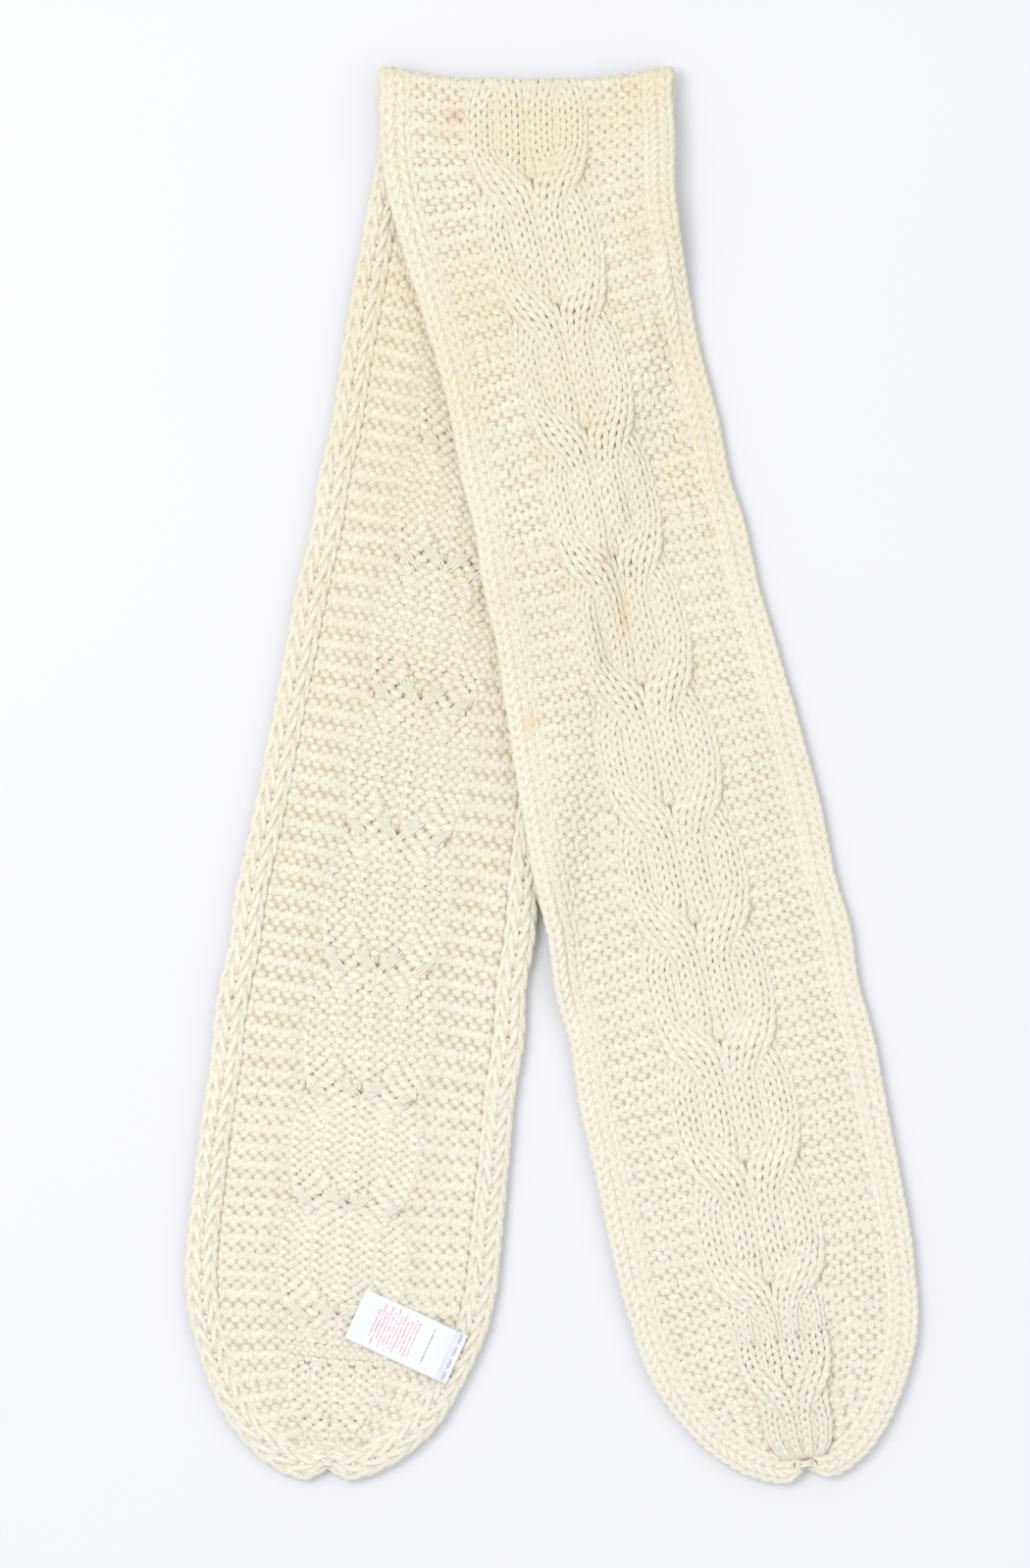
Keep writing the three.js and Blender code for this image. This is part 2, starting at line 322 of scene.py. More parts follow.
class Yarn:
    """Collects tubes of yarn and makes them into one mesh, with a uv along the yarn and a mask for painted
    shade, from the yarn's depth in the cloth and the side of the tube that faces outward.
    """

    def __init__(self):
        self.points, self.uvs, self.relief, self.corners, self.sizes = [], [], [], [], []
        self.count = 0

    def add(self, paths, outward, radius, relief, flatten=0.85):
        """Tubes along paths, an array of runs by samples by 3, lying in a cloth that faces outward."""
        runs, samples, _ = paths.shape
        tangent = np.gradient(paths, axis=1)
        tangent /= np.linalg.norm(tangent, axis=2, keepdims=True) + 1e-12
        sideways = np.cross(tangent, outward)
        sideways /= np.linalg.norm(sideways, axis=2, keepdims=True) + 1e-12
        up = np.cross(sideways, tangent)
        turn = 2 * math.pi * np.arange(SIDES) / SIDES
        radius = np.broadcast_to(radius, (runs, samples))[..., None, None]
        ring = np.cos(turn)[:, None] * sideways[:, :, None, :]
        ring = ring + flatten * np.sin(turn)[:, None] * up[:, :, None, :]
        points = paths[:, :, None, :] + radius * ring
        # Painted light and shade: the mask is the yarn's depth, raised by 0.18 on the side of the tube that
        # faces outward and lowered by as much on the side that faces in.
        shade = np.broadcast_to(relief, (runs, samples))[..., None] + 0.18 * np.sin(turn)
        length = np.linalg.norm(np.diff(paths, axis=1), axis=2)
        length = np.concatenate([np.zeros((runs, 1)), np.cumsum(length, axis=1)], axis=1) / MM

        index = self.count + np.arange(runs * samples * SIDES).reshape(runs, samples, SIDES)
        near, far = index[:, :-1], index[:, 1:]
        quads = np.stack([near, np.roll(near, -1, 2), np.roll(far, -1, 2), far], axis=-1)
        around = np.arange(SIDES) / SIDES
        u = np.stack([around, around + 1 / SIDES, around + 1 / SIDES, around], axis=-1)
        u = np.broadcast_to(u, quads.shape)
        v_near, v_far = length[:, :-1, None], length[:, 1:, None]
        v = np.stack(np.broadcast_arrays(v_near, v_near, v_far, v_far), axis=-1)
        v = np.broadcast_to(v, quads.shape)
        self.corners.append(quads.reshape(-1))
        self.uvs.append(np.stack([u, v], axis=-1).reshape(-1, 2))
        self.sizes.append(np.full(quads.size // 4, 4))
        for caps in (index[:, 0, ::-1], index[:, -1]):
            self.corners.append(caps.reshape(-1))
            self.uvs.append(np.zeros((caps.size, 2)))
            self.sizes.append(np.full(runs, SIDES))
        self.points.append(points.reshape(-1, 3))
        self.relief.append(shade.reshape(-1))
        self.count += points.size // 3

    def build(self, name, material):
        return mesh_piece(
            name,
            np.concatenate(self.points),
            np.concatenate(self.corners),
            np.concatenate(self.sizes),
            material,
            np.concatenate(self.uvs),
            np.concatenate(self.relief),
        )


def mesh_piece(name, points, corners, sizes, material, uvs=None, relief=None):
    """A smooth-shaded mesh object from flat arrays of points, face corners and face sizes."""
    mesh = bpy.data.meshes.new(name)
    mesh.vertices.add(len(points))
    mesh.vertices.foreach_set("co", np.ascontiguousarray(points, np.float32).ravel())
    mesh.loops.add(len(corners))
    mesh.loops.foreach_set("vertex_index", corners.astype(np.int32))
    mesh.polygons.add(len(sizes))
    starts = np.concatenate([[0], np.cumsum(sizes)[:-1]])
    mesh.polygons.foreach_set("loop_start", starts.astype(np.int32))
    mesh.polygons.foreach_set("use_smooth", np.ones(len(sizes), bool))
    if uvs is not None:
        layer = mesh.uv_layers.new(name="yarn")
        layer.uv.foreach_set("vector", uvs.astype(np.float32).ravel())
    if relief is not None:
        attribute = mesh.attributes.new("relief", "FLOAT", "POINT")
        attribute.data.foreach_set("value", relief.astype(np.float32))
    mesh.update(calc_edges=True)
    mesh.validate()
    piece = bpy.data.objects.new(name, mesh)
    bpy.context.scene.collection.objects.link(piece)
    mesh.materials.append(material)
    return piece


def stitches(rows, first, count, reach, slant, depth, signs):
    """Yarn of whole rows of stitches: column and row coordinates, and depth towards the right side.

    A loop reaches `reach` rows up and down from its own row, and its legs lean by `slant` of a stitch.
    `reach` is one number, or a column with one for each row. `signs` gives 1 for a row knitted and -1 for a
    row purled, as seen from the right side.
    """
    column = first + np.arange(count * SAMPLES + 1)[None, :] / SAMPLES
    turn = 2 * math.pi * column
    knit = (signs(rows) + signs(rows + 1))[:, None] / 2
    change = (signs(rows) - signs(rows + 1))[:, None] / 2
    u = column + slant * np.sin(2 * turn)
    v = -reach * np.cos(turn)
    w = -depth * (knit * np.cos(2 * turn) + change * np.cos(3 * turn))
    plump = 1.12 + 0.12 * np.cos(2 * turn)
    return column, u, v, w, plump


def wander(rows, column, salt, amount):
    """A small smooth offset that changes from stitch to stitch."""
    low = np.floor(column)
    share = smooth(column - low)
    return amount * mix(scatter(rows[:, None], low, salt), scatter(rows[:, None], low + 1, salt), share)


def lay(yarn, place, rows, first, count, radius, reach, slant, depth, signs, row_step=1.0):
    """Adds rows of stitches to yarn. place(row, column, height) gives points in the scarf's own frame."""
    if not len(rows) or count < 1:
        return
    column, u, v, w, plump = stitches(rows, first, count, reach, slant, depth, signs)
    u = u + wander(rows, column, 1, WANDER_ACROSS)
    v = rows[:, None] + row_step * v + wander(rows, column, 2, WANDER_ALONG)
    w = w + wander(rows, column, 3, WANDER_DEEP)
    u, v, w = np.broadcast_arrays(u, v, w)
    paths = place(v, u, w)
    outward = place(v, u, w + 0.5 * MM) - place(v, u, w - 0.5 * MM)
    thick = radius * plump * (1 + wander(rows, column, 4, WANDER_THICK))
    # The shade mask is the yarn's depth, 0 deep in the cloth and 1 on the crowns; the wool paints shade where
    # it is low.
    yarn.add(paths, outward, thick, np.abs(w) / depth)


def knitted(rows):
    return np.ones_like(rows)


def garter(rows):
    return np.where(np.floor(rows) % 2 == 0, 1.0, -1.0)


# ---- the zones of the knitting -----------------------------------------------------------------------

CABLE_SHARE = 0.41  # half width of the cables as a share of the leaf's
NARROW_HALF = 26 * MM  # half width of the cables between the last two crossings
TONGUE_HALF = {-1: 19 * MM, 1: 15 * MM}  # and beyond the last, on the front and the rear leaf
TONGUE_LIFT = 2.6 * MM  # how far the cables' narrow end stands out
TONGUE_ROW = LAST_CROSSING - 6  # row where the narrow end starts
CROSS_ROWS = 2.5  # a strand crosses in this many rows on each side of the crossing
CROSS_LEAD = 0.27  # share of the crossing by which its leading edge is ahead, and its other edge behind
DRIFT = 0.1  # share of the crossing that is spread over all the rows
OVER_LIFT = 2.3 * MM  # how far a strand is lifted where it goes over the other
UNDER_LIFT = -1.2 * MM  # and where it goes under
CENTRE_OVERLAP = 0.6 * MM  # how far each cable goes past the middle line
CABLE_LIFT = 0.7 * MM  # the cables stand this much above the panels
CABLE_CROWN = 2.7 * MM  # and the middle of each strand this much above its edges
UNDERNEATH = 0.4  # how much of that is left where the rear leaf's right side is pressed on the table
OVERLAP = 1.08  # the strands lie a little over each other
STRAND = 3  # stitches in a strand of the cable
GARTER_STITCHES = 5  # stitches across a panel at its widest
GARTER_STITCH = 6.2 * MM  # width of one
GARTER_TUCK = 0.9 * MM  # how far the panels go in under the cables
TIP_SLOPE = 3.0  # rows by which the panels slope back from the cable in the tips, in SLOPE_RUN
SLOPE_RUN = 30 * MM


def tip_rows(reach):
    return np.interp(reach, REACHES, np.abs(ROWS))


def to_tip(reach):
    """Distance along the leaf to where the cords meet at the tip."""
    return np.where(reach < 0, FRONT.length, REAR.length) - CORD_WIDTH - np.abs(reach) + HALF_TURN


def near_crossing(row):
    """The crossing that a row is nearest to, and how many rows it is beyond it."""
    crossing = np.clip(np.round(row / CABLE_ROWS), -11, 11)
    return crossing, row - crossing * CABLE_ROWS


def crossing_bump(row):
    """1 at a crossing, falling to 0 between crossings."""
    return 1 - smooth(np.abs(near_crossing(row)[1]) / 4.5)


def cable_half(reach):
    along = np.maximum(np.abs(reach) - HALF_TURN, 0)
    open_half = np.where(reach < 0, FRONT.open_half(along), REAR.open_half(along))
    rows = tip_rows(reach)
    narrow = mix(open_half * CABLE_SHARE, NARROW_HALF, smooth((rows - LAST_CROSSING + 14) / 7))
    tongue = np.where(reach < 0, TONGUE_HALF[-1], TONGUE_HALF[1])
    half = mix(narrow, tongue, smooth((rows - LAST_CROSSING + 3) / 7))
    rounding = 1 - np.clip((to_tip(reach) + 5 * MM) / (22 * MM), 0, 1)
    drawn_in = 1 - 0.1 * crossing_bump(rows)
    return half * drawn_in * np.sqrt(1 - 0.9 * rounding**2)


def garter_outer(reach):
    """The outermost garter stitch is tucked under the rolled cord on the right side only."""
    tuck = np.where(reach < 0, 5 * MM, 0.3 * MM)
    return leaf_half(reach, CORD_WIDTH) + tuck


def cable_place(strand):
    """Place of the stitches of one of the four strands, counted from the left.

    A strand crosses with one edge leading and the other following, so it widens as it goes over the other.
    """
    side = -1 if strand < 2 else 1
    starts_inner = strand in (1, 2)

    def place(row, column, height):
        s = reach_of(row)
        crossing, beyond = near_crossing(row)
        slow = 0.5 + 0.5 * np.sin(math.pi * np.clip(beyond / CABLE_ROWS, -0.5, 0.5))
        crossed = beyond / (2 * CROSS_ROWS) + 0.5
        lead, follow = (mix(smooth(crossed + ahead), slow, DRIFT) for ahead in (CROSS_LEAD, -CROSS_LEAD))
        outward_bound = (crossing % 2 == 0) == starts_inner
        inner = np.where(outward_bound, 0.5 * follow, 0.5 - 0.5 * lead)
        outer = np.where(outward_bound, 0.5 + 0.5 * lead, 1 - 0.5 * follow)
        flat = smooth(s / HALF_TURN)
        lift = np.where(outward_bound, OVER_LIFT, UNDER_LIFT) * crossing_bump(row) * mix(1, 0.55, flat)
        stitches_wide = np.where(np.abs(row) > TONGUE_ROW, 2.0, float(STRAND))
        inside = column / stitches_wide if side > 0 else 1 - column / stitches_wide
        inside = 0.5 + (inside - 0.5) * OVERLAP
        facing = 0.5 + 0.5 * np.clip(height / (1.4 * MM), -1, 1)
        crown = CABLE_CROWN * facing * (1 - (2 * np.clip(inside, 0, 1) - 1) ** 2)
        across = side * (mix(inner, outer, inside) * (cable_half(s) + CENTRE_OVERLAP) - CENTRE_OVERLAP)
        proud = TONGUE_LIFT * facing * smooth((np.abs(row) - LAST_CROSSING + 12) / 14)
        raised = (crown + CABLE_LIFT + proud) * mix(1, UNDERNEATH, flat)
        return surface(s, across, height + (lift + raised) * (1 - 0.75 * crest(s)))

    return place


def garter_place(side, count):
    def place(row, column, height):
        s = reach_of(row)
        inner, outer = cable_half(s) - GARTER_TUCK, garter_outer(s)
        slope = TIP_SLOPE * smooth((np.abs(row) - LAST_CROSSING + 14) / 20)
        across = mix(inner, outer, column / count)
        lean = slope * np.sign(row) * (across - inner) / SLOPE_RUN
        return surface(reach_of(row + lean), side * across, height)

    return place


NOTCH = 5 * MM  # how far the cords' ends turn in where they meet
NOTCH_HALF = 7 * MM  # and half the width of the dip that this makes
CORD_INSET = 2.4 * MM  # from the cord's surface to the middle of its yarn
TIP_ROW = 5.6 * MM  # row height of the cords round the tips


class Cord:
    """A rolled edge cord: its middle runs beside the panels and round both tips."""

    def __init__(self, side):
        self.side = side
        stations = [self.leaf_stations(FRONT)[::-1], self.leaf_stations(REAR)]
        self.reach, self.across, self.turn, self.row = np.concatenate(stations).T
        self.first, self.last = self.row[0], self.row[-1]

    def leaf_stations(self, leaf):
        """Rows of reach, across, turn and row number from the fold to the tip's middle."""
        half = CORD_WIDTH / 2
        tip_start = leaf.length - TIP_LENGTH
        straight_count = 200
        along = np.linspace(0, tip_start, straight_count)
        straight = np.stack([along, leaf.open_half(along) - half, 0 * along], axis=1)
        angle = np.linspace(0, math.pi / 2, 61)[1:]
        along = tip_start + (TIP_LENGTH - half) * np.sin(angle) ** (2 / TIP_POWER)
        spread = leaf.open_half(along) - half
        across = np.maximum(spread * np.cos(angle) ** (2 / TIP_POWER), 0.2 * MM)
        turn = np.arctan2(spread * np.sin(angle), (TIP_LENGTH - half) * np.cos(angle))
        tip = np.stack([along, across, turn], axis=1)
        route = np.concatenate([straight, tip])
        reach = leaf.way * (route[:, 0] + HALF_TURN)
        row = np.interp(reach, REACHES, ROWS)
        step = np.hypot(*np.diff(route[straight_count - 1 :, :2], axis=0).T)
        row[straight_count:] = row[straight_count - 1] + leaf.way * np.cumsum(step) / TIP_ROW
        return np.stack([reach, self.side * route[:, 1], -self.side * route[:, 2], row], axis=1)

    def point(self, row, outward, height):
        """A point beside the cord's middle: outward is towards the scarf's edge."""
        reach = np.interp(row, self.row, self.reach)
        across = np.interp(row, self.row, self.across)
        turn = np.interp(row, self.row, self.turn)
        sideways = self.side * outward
        way = np.sign(reach)
        reach = reach - way * NOTCH * np.exp(-((across / NOTCH_HALF) ** 2))
        return surface(reach - way * sideways * np.sin(turn), across + sideways * np.cos(turn), height)

    def taper(self, row):
        """The cord closes at each tip."""
        from_end = np.minimum(row - self.first, self.last - row)
        closing = np.clip(from_end / 1.8, 0, 1) ** 0.5
        return 0.5 + 0.5 * closing

    def place(self, row, column, height):
        """Columns 0 to 2 go over the right side from the inner edge, and 2 to 4 back over the wrong side.

        The cord is pressed flatter in the fold.
        """
        angle = math.pi * (1 - column / 2)
        a, b = CORD_WIDTH / 2 - CORD_INSET, MIDDLE - CORD_INSET
        pressed = 1 - 0.35 * smooth(1 - np.abs(np.interp(row, self.row, self.reach)) / (22 * MM))
        scale = self.taper(row)
        nx, ny = np.cos(angle) / a, np.sin(angle) / b
        n = np.hypot(nx, ny)
        outward = (a * np.cos(angle) + height * nx / n) * scale
        up = (b * np.sin(angle) + height * ny / n) * scale * pressed
        return self.point(row, outward, up)


CORDS = {"left": Cord(-1), "right": Cord(1)}


# ---- shader node groups ------------------------------------------------------------------------------


class Graph:
    """Short helper for building a node tree."""

    def __init__(self, tree):
        self.tree = tree

    def node(self, kind, **settings):
        node = self.tree.nodes.new(kind)
        inputs = settings.pop("inputs", {})
        for key, value in settings.items():
            setattr(node, key, value)
        for key, value in inputs.items():
            self.feed(node.inputs[key], value)
        return node

    def feed(self, socket, value):
        if isinstance(value, bpy.types.NodeSocket):
            self.tree.links.new(value, socket)
        elif isinstance(value, bpy.types.Node):
            self.tree.links.new(value.outputs[0], socket)
        else:
            socket.default_value = value

    def math(self, operation, a, b=0.0):
        node = self.node("ShaderNodeMath", operation=operation)
        self.feed(node.inputs[0], a)
        self.feed(node.inputs[1], b)
        return node.outputs[0]

    def ramp(self, value, low, high, to_low=0.0, to_high=1.0):
        node = self.node("ShaderNodeMapRange", interpolation_type="SMOOTHSTEP")
        sockets = ("Value", "From Min", "From Max", "To Min", "To Max")
        for key, item in zip(sockets, (value, low, high, to_low, to_high)):
            self.feed(node.inputs[key], item)
        return node.outputs["Result"]

    def blend(self, share, a, b, mode="MIX"):
        node = self.node("ShaderNodeMix", data_type="RGBA", blend_type=mode)
        self.feed(node.inputs["Factor"], share)
        self.feed(node.inputs["A"], a)
        self.feed(node.inputs["B"], b)
        return node.outputs["Result"]

    def times(self, a, b):
        return self.math("MULTIPLY", a, b)

    def place(self):
        return self.node("ShaderNodeTexCoord").outputs["Object"]

    def group(self, tree, inputs):
        return self.node("ShaderNodeGroup", node_tree=tree, inputs=inputs)

    def bump(self, height, strength, distance):
        inputs = {"Strength": strength, "Distance": distance, "Height": height}
        return self.node("ShaderNodeBump", inputs=inputs).outputs["Normal"]

    def grey(self, value):
        return self.node("ShaderNodeCombineColor", inputs={0: value, 1: value, 2: value}).outputs[0]

    def noise(self, vector, scale, detail=3.0, roughness=0.55):
        return self.node(
            "ShaderNodeTexNoise",
            inputs={"Vector": vector, "Scale": scale, "Detail": detail, "Roughness": roughness},
        ).outputs["Fac"]


def new_group(name, inputs, outputs):
    """A node group with named sockets, and the graph and end nodes to fill it with."""
    tree = bpy.data.node_groups.new(name, "ShaderNodeTree")
    for label, kind, value in inputs:
        socket = tree.interface.new_socket(label, in_out="INPUT", socket_type=kind)
        socket.default_value = value
    for label, kind in outputs:
        tree.interface.new_socket(label, in_out="OUTPUT", socket_type=kind)
    graph = Graph(tree)
    return tree, graph, graph.node("NodeGroupInput"), graph.node("NodeGroupOutput")


def fibre_group():
    """Fine fibres that run along a yarn or thread in a slight twist."""
    tree, g, start, end = new_group(
        "twisted_fibres",
        [
            ("Twist", "NodeSocketFloat", 0.08),
            ("Strands", "NodeSocketFloat", 10.0),
            ("Fineness", "NodeSocketFloat", 1.0),
        ],
        [("Fibres", "NodeSocketFloat"), ("Plies", "NodeSocketFloat")],
    )
    uv = g.node("ShaderNodeUVMap", uv_map="yarn")
    parts = g.node("ShaderNodeSeparateXYZ", inputs={"Vector": uv})
    angle = g.math("ADD", parts.outputs["X"], g.times(parts.outputs["Y"], start.outputs["Twist"]))
    turn = g.times(angle, 2 * math.pi)
    width = g.times(start.outputs["Strands"], 0.2)
    across = g.times(g.math("SINE", turn), width)
    across_too = g.times(g.math("COSINE", turn), width)
    along = g.times(parts.outputs["Y"], 0.16)
    place = g.node("ShaderNodeCombineXYZ", inputs={"X": across, "Y": across_too, "Z": along})
    fibres = g.noise(place, start.outputs["Fineness"], 4.0, 0.65)
    plies = g.math("ABSOLUTE", g.math("SINE", g.times(turn, 2.0)))
    g.feed(end.inputs["Fibres"], fibres)
    g.feed(end.inputs["Plies"], plies)
    return tree


def mottle_group():
    """Soft uneven tone of cloth that has been worn and washed."""
    tree, g, start, end = new_group(
        "worn_tone",
        [("Patch Size", "NodeSocketFloat", 12.0), ("Speck Size", "NodeSocketFloat", 160.0)],
        [("Patches", "NodeSocketFloat"), ("Specks", "NodeSocketFloat")],
    )
    place = g.place()
    patches = g.noise(place, start.outputs["Patch Size"], 3.0)
    specks = g.noise(place, start.outputs["Speck Size"], 2.0)
    g.feed(end.inputs["Patches"], g.ramp(patches, 0.35, 0.65))
    g.feed(end.inputs["Specks"], specks)
    return tree


def spot_group():
    """A soft round or long spot at a place on the object."""
    tree, g, start, end = new_group(
        "soft_spot",
        [
            ("Centre", "NodeSocketVector", (0.0, 0.0, 0.0)),
            ("Reach", "NodeSocketVector", (0.01, 0.01, 0.02)),
            ("Strength", "NodeSocketFloat", 0.5),
        ],
        [("Mask", "NodeSocketFloat")],
    )
    place = g.place()
    away = g.node("ShaderNodeVectorMath", operation="SUBTRACT", inputs={0: place, 1: start.outputs["Centre"]})
    scaled = g.node("ShaderNodeVectorMath", operation="DIVIDE", inputs={0: away, 1: start.outputs["Reach"]})
    length = g.node("ShaderNodeVectorMath", operation="LENGTH", inputs={0: scaled}).outputs["Value"]
    ragged = g.math("ADD", length, g.times(g.math("SUBTRACT", g.noise(place, 260.0), 0.5), 1.1))
    g.feed(end.inputs["Mask"], g.times(g.ramp(ragged, 1.0, 0.1), start.outputs["Strength"]))
    return tree


# Faint marks of wear: centre, reach along X and Y, colour and strength.
MARKS = [
    ((-0.0551, 0.3674), (0.010, 0.007), (0.72, 0.47, 0.32), 0.55),
    ((0.0872, 0.1349), (0.0065, 0.0070), (0.80, 0.52, 0.16), 0.9),
    ((-0.0134, 0.0282), (0.0075, 0.0120), (0.82, 0.60, 0.30), 0.5),
    ((0.0283, 0.1194), (0.0065, 0.0050), (0.62, 0.42, 0.24), 0.85),
    ((0.0400, 0.0910), (0.0050, 0.0200), (0.80, 0.62, 0.32), 0.6),
]


def finish_material(name):
    """A new material, with the graph and the main shader to fill in."""
    material = bpy.data.materials.new(name)
    material.use_nodes = True
    graph = Graph(material.node_tree)
    shader = material.node_tree.nodes["Principled BSDF"]
    return material, graph, shader


def wool_material(name, settings, groups, shade=1.0):
    """Cream wool: fibres along the yarn, painted shade deep between the stitches, a darker, yellower tone
    towards the top in patches, and faint marks.
    """
    material, g, shader = finish_material(name)
    fibres = g.group(groups["fibres"], {"Twist": 0.05, "Strands": 13.0})
    tone = g.group(groups["mottle"], {"Patch Size": 14.0, "Speck Size": 130.0})
    place = g.place()
    # Darker and yellower towards the top of the object (+Y), in patches.
    height = g.node("ShaderNodeSeparateXYZ", inputs={"Vector": place}).outputs["Y"]
    towards_top = g.ramp(height, -0.30, 0.42)
    towards_top = g.times(towards_top, g.ramp(tone.outputs["Patches"], 0.0, 1.0, 0.45, 1.0))
    colour = g.blend(towards_top, (*settings.wool, 1), (*settings.upper_wool, 1))
    # Painted shade: where the shade mask is low, deep in the cloth and on the yarn's inward side, the colour
    # goes up to three quarters of the way to the gap shade colour.
    relief = g.node("ShaderNodeAttribute", attribute_name="relief").outputs["Fac"]
    gap_shade_share = g.ramp(relief, 0.75, 0.05)
    colour = g.blend(g.times(gap_shade_share, 0.75), colour, (*settings.gap_shade_colour, 1))
    streaks = g.ramp(fibres.outputs["Fibres"], 0.30, 0.70, 0.86, 1.04)
    colour = g.blend(1.0, colour, g.grey(streaks), "MULTIPLY")
    for centre, reach, tint, strength in MARKS:
        spot = {"Centre": (*centre, 0.014), "Reach": (*reach, 0.012), "Strength": strength}
        mask = g.group(groups["spot"], spot)
        colour = g.blend(mask.outputs["Mask"], colour, (*tint, 1))
    # Painted shade: the colour is multiplied by a darker, yellower grey, for cloth seen only in the gaps.
    if shade != 1.0:
        colour = g.blend(1.0, colour, (shade, shade * 0.96, shade * 0.88, 1), "MULTIPLY")
    g.feed(shader.inputs["Base Color"], colour)
    g.feed(shader.inputs["Roughness"], g.ramp(fibres.outputs["Fibres"], 0.2, 0.8, 0.98, 0.82))
    bump_height = g.math("ADD", fibres.outputs["Fibres"], g.times(fibres.outputs["Plies"], 0.25))
    g.feed(shader.inputs["Normal"], g.bump(bump_height, 0.85, 0.7 * MM))
    shader.inputs["Sheen Weight"].default_value = 0.35
    shader.inputs["Sheen Roughness"].default_value = 0.6
    shader.inputs["Specular IOR Level"].default_value = 0.25
    return material


LABEL_LINES = 26.0  # evenly spaced lines that would fill the label's flap
RED_LINES = (9, 20)  # first and last line printed in red
DARK_LINE = 5


def satin_material(settings, groups):
    """White satin ribbon: fine weave, soft gloss and plain printed bars across its width."""
    material, g, shader = finish_material("satin_ribbon")
    uv = g.node("ShaderNodeUVMap", uv_map="yarn")
    parts = g.node("ShaderNodeSeparateXYZ", inputs={"Vector": uv})
    along, across = parts.outputs["X"], parts.outputs["Y"]
    lines = g.times(along, LABEL_LINES)
    stripe = g.ramp(g.math("ABSOLUTE", g.math("SUBTRACT", g.math("FRACT", lines), 0.5)), 0.26, 0.16)
    row = g.math("FLOOR", lines)
    length = g.node("ShaderNodeTexWhiteNoise", noise_dimensions="1D", inputs={"W": row}).outputs["Value"]
    reach = g.ramp(length, 0.0, 1.0, 0.26, 0.42)
    width = g.ramp(g.math("ABSOLUTE", g.math("SUBTRACT", across, 0.5)), g.math("ADD", reach, 0.01), reach)
    printed = g.times(stripe, width)
    place = g.place()
    broken = g.ramp(g.noise(place, 900.0, 1.0), 0.42, 0.52, 0.25, 1.0)
    printed = g.times(printed, broken)
    first, last = RED_LINES
    after, before = g.math("GREATER_THAN", row, first - 0.5), g.math("LESS_THAN", row, last + 0.5)
    red_zone = g.times(after, before)
    dark_zone = g.math("COMPARE", row, DARK_LINE)
    tone = g.group(groups["mottle"], {"Patch Size": 60.0, "Speck Size": 1200.0})
    colour = g.blend(g.times(tone.outputs["Patches"], 0.3), (*settings.satin, 1), (0.80, 0.82, 0.90, 1))
    inks = [(red_zone, 0.75, (0.74, 0.25, 0.30, 1)), (dark_zone, 0.7, (0.25, 0.25, 0.28, 1))]
    for zone, strength, ink in inks:
        colour = g.blend(g.times(g.times(printed, zone), strength), colour, ink)
    g.feed(shader.inputs["Base Color"], colour)
    weave = g.node("ShaderNodeTexWave", inputs={"Vector": uv, "Scale": 40.0, "Distortion": 0.4})
    g.feed(shader.inputs["Roughness"], g.ramp(weave.outputs["Fac"], 0.0, 1.0, 0.30, 0.42))
    g.feed(shader.inputs["Normal"], g.bump(weave.outputs["Fac"], 0.25, 0.2 * MM))
    shader.inputs["Sheen Weight"].default_value = 0.2
    return material


def thread_material(groups):
    """White spun sewing thread with a tight twist."""
    material, g, shader = finish_material("sewing_thread")
    fibres = g.group(groups["fibres"], {"Twist": 0.9, "Strands": 5.0})
    tone = g.group(groups["mottle"], {"Patch Size": 90.0, "Speck Size": 900.0})
    shadow = g.ramp(fibres.outputs["Plies"], 0.0, 0.6, 0.45, 0.0)
    colour = g.blend(shadow, (0.90, 0.91, 0.94, 1), (0.55, 0.56, 0.60, 1))
    colour = g.blend(g.times(tone.outputs["Specks"], 0.2), colour, (0.80, 0.80, 0.80, 1))
    g.feed(shader.inputs["Base Color"], colour)
    g.feed(shader.inputs["Roughness"], g.ramp(fibres.outputs["Fibres"], 0.0, 1.0, 0.45, 0.65))
    g.feed(shader.inputs["Normal"], g.bump(fibres.outputs["Plies"], 0.8, 0.3 * MM))
    return material


def floor_material(settings):
    material, g, shader = finish_material("pale_table")
    place = g.place()
    grain = g.ramp(g.noise(place, 3.0), 0.3, 0.7, 0.99, 1.0)
    g.feed(shader.inputs["Base Color"], g.blend(1.0, (*settings.table, 1), g.grey(grain), "MULTIPLY"))
    shader.inputs["Roughness"].default_value = 0.9
    shader.inputs["Specular IOR Level"].default_value = 0.1
    return material


MATERIALS = {}


def material(name):
    """The scarf's materials, made at first use from the colour settings."""
    if not MATERIALS:
        colours = bpy.context.scene.scarf_colours
        groups = {"fibres": fibre_group(), "mottle": mottle_group(), "spot": spot_group()}
        MATERIALS["wool"] = wool_material("wool_yarn", colours, groups)
        # Painted shade: the ground cloth, seen only through the gaps, is the wool darkened to 0.92.
        MATERIALS["ground"] = wool_material("wool_ground_shaded", colours, groups, 0.92)
        MATERIALS["satin"] = satin_material(colours, groups)
        MATERIALS["thread"] = thread_material(groups)
        MATERIALS["table"] = floor_material(colours)
    return MATERIALS[name]


# ---- settings ----------------------------------------------------------------------------------------


def length_property(name, description, default):
    return bpy.props.FloatProperty(
        name=name, description=description, default=default, min=0.0, unit="LENGTH", precision=5
    )


def colour_property(name, description, default):
    return bpy.props.FloatVectorProperty(
        name=name, description=description, default=default, size=3, min=0.0, max=1.0, subtype="COLOR"
    )


